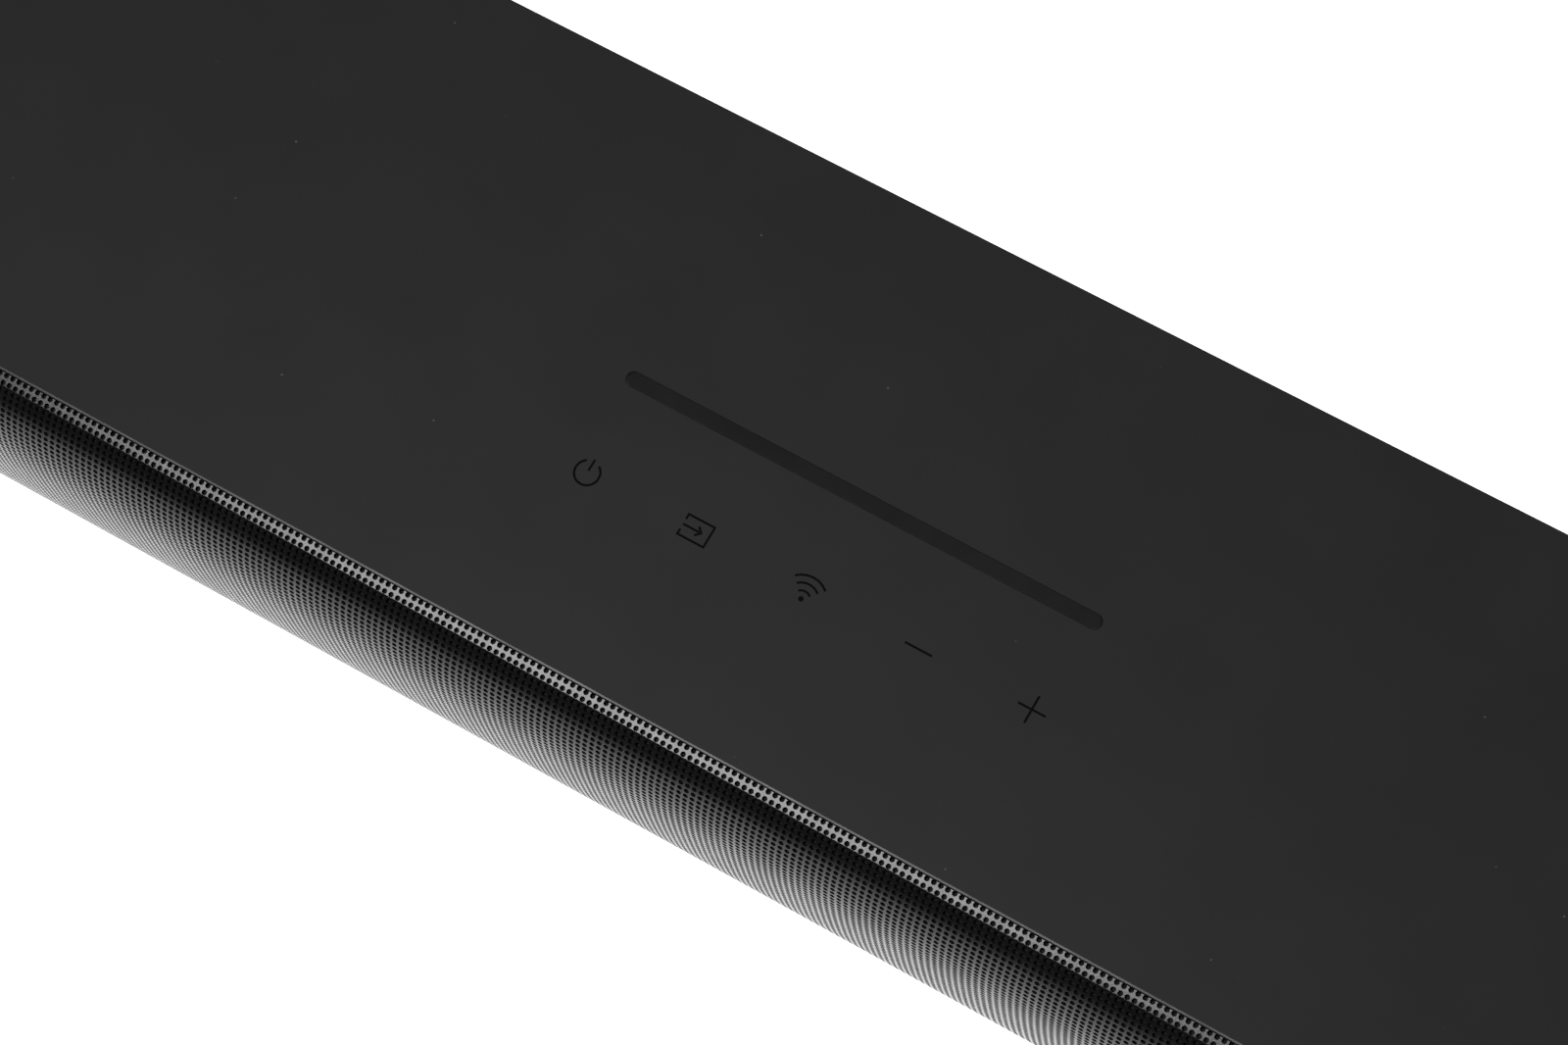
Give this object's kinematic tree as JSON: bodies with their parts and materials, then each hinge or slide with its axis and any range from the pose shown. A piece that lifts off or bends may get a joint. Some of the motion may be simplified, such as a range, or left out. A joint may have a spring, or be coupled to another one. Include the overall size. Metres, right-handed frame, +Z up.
{
  "type": "soundbar",
  "caption": "Long low television soundbar with a flat touch panel and display slot on top, a bulging perforated front grille, rear ports and a connector bay.",
  "frame": {"origin": "on the surface that the feet stand on, under the middle of the bar's outer box", "axes": "+X along the bar to the right of someone facing it, -Y towards the listener, +Z up"},
  "size_m": [0.93, 0.1134, 0.064],
  "materials": {
    "panel_plastic": "fine satin moulding, nearly black",
    "case_plastic": "fine spark-eroded texture, black",
    "smoked_lens": "smoked, semi-gloss",
    "grille_metal": "black paint with a soft sheen",
    "black_fleece": "black, dull",
    "light_pipe": "milky",
    "circuit_board": "green solder mask",
    "plated_steel": "zinc plated",
    "ferrite": "sintered, dark grey",
    "cone_paper": "coated pulp, black",
    "rubber": "moulded, dull",
    "dome_silk": "coated, black",
    "moulded_black": "smooth black moulding",
    "winding_tape": "yellow insulation tape",
    "aluminium": "plain extrusion"
  },
  "bodies": {
    "cabinet": {"bottom_tray": "case_plastic", "capacitor": "moulded_black", "case_screw_1": "plated_steel", "case_screw_2": "plated_steel", "case_screw_3": "plated_steel", "case_screw_4": "plated_steel", "connector_bay": "case_plastic", "display_board": "circuit_board", "display_lens": "smoked_lens", "divider_left": "case_plastic", "divider_right": "case_plastic", "driver_lead_left": "moulded_black", "driver_lead_right": "moulded_black", "end_cap_left": "case_plastic", "end_cap_right": "case_plastic", "foot_1": "rubber", "foot_2": "rubber", "foot_3": "rubber", "foot_4": "rubber", "front_baffle": "case_plastic", "front_grille": "grille_metal", "grille_backing": "black_fleece", "hdmi_socket": "plated_steel", "heatsink": "aluminium", "light_guide": "light_pipe", "main_board": "circuit_board", "mains_inlet": "moulded_black", "optical_socket": "moulded_black", "port_tube_left": "case_plastic", "port_tube_right": "case_plastic", "power_board": "circuit_board", "rear_cover": "case_plastic", "service_switch": "moulded_black", "top_panel": "panel_plastic", "touch_board": "circuit_board", "transformer": "winding_tape", "tweeter_1_body": "case_plastic", "tweeter_2_body": "case_plastic", "usb_socket": "plated_steel", "wireless_module": "plated_steel", "woofer_1_basket": "plated_steel", "woofer_1_magnet": "ferrite", "woofer_1_surround": "rubber", "woofer_2_basket": "plated_steel", "woofer_2_magnet": "ferrite", "woofer_2_surround": "rubber", "woofer_3_basket": "plated_steel", "woofer_3_magnet": "ferrite", "woofer_3_surround": "rubber", "woofer_4_basket": "plated_steel", "woofer_4_magnet": "ferrite", "woofer_4_surround": "rubber"},
    "optical_shutter": {"optical_shutter": "moulded_black"},
    "service_button": {"service_button": "rubber"},
    "woofer_1_cone": {"woofer_1_cone": "cone_paper"},
    "woofer_2_cone": {"woofer_2_cone": "cone_paper"},
    "woofer_3_cone": {"woofer_3_cone": "cone_paper"},
    "woofer_4_cone": {"woofer_4_cone": "cone_paper"},
    "tweeter_1_dome": {"tweeter_1_dome": "dome_silk"},
    "tweeter_2_dome": {"tweeter_2_dome": "dome_silk"}
  },
  "joints": [
    {"name": "woofer_1_stroke", "type": "slide", "parent": "cabinet", "child": "woofer_1_cone", "axis": [0, -1, 0], "range_m": [-0.002, 0.002], "stiffness_N_per_m": 800},
    {"name": "woofer_2_stroke", "type": "slide", "parent": "cabinet", "child": "woofer_2_cone", "axis": [0, -1, 0], "range_m": [-0.002, 0.002], "stiffness_N_per_m": 800},
    {"name": "woofer_3_stroke", "type": "slide", "parent": "cabinet", "child": "woofer_3_cone", "axis": [0, -1, 0], "range_m": [-0.002, 0.002], "stiffness_N_per_m": 800},
    {"name": "woofer_4_stroke", "type": "slide", "parent": "cabinet", "child": "woofer_4_cone", "axis": [0, -1, 0], "range_m": [-0.002, 0.002], "stiffness_N_per_m": 800},
    {"name": "tweeter_1_stroke", "type": "slide", "parent": "cabinet", "child": "tweeter_1_dome", "axis": [0, -1, 0], "range_m": [-0.0003, 0.0003], "stiffness_N_per_m": 600},
    {"name": "tweeter_2_stroke", "type": "slide", "parent": "cabinet", "child": "tweeter_2_dome", "axis": [0, -1, 0], "range_m": [-0.0003, 0.0003], "stiffness_N_per_m": 600},
    {"name": "optical_shutter_swing", "type": "hinge", "parent": "cabinet", "child": "optical_shutter", "pos_m": [0.006, 0.03745, 0.03525], "axis": [-1, 0, 0], "range_deg": [0, 80], "stiffness_Nm_per_rad": 0.0004},
    {"name": "service_button_press", "type": "slide", "parent": "cabinet", "child": "service_button", "axis": [0, -1, 0], "range_m": [0, 0.0008], "stiffness_N_per_m": 600}
  ]
}
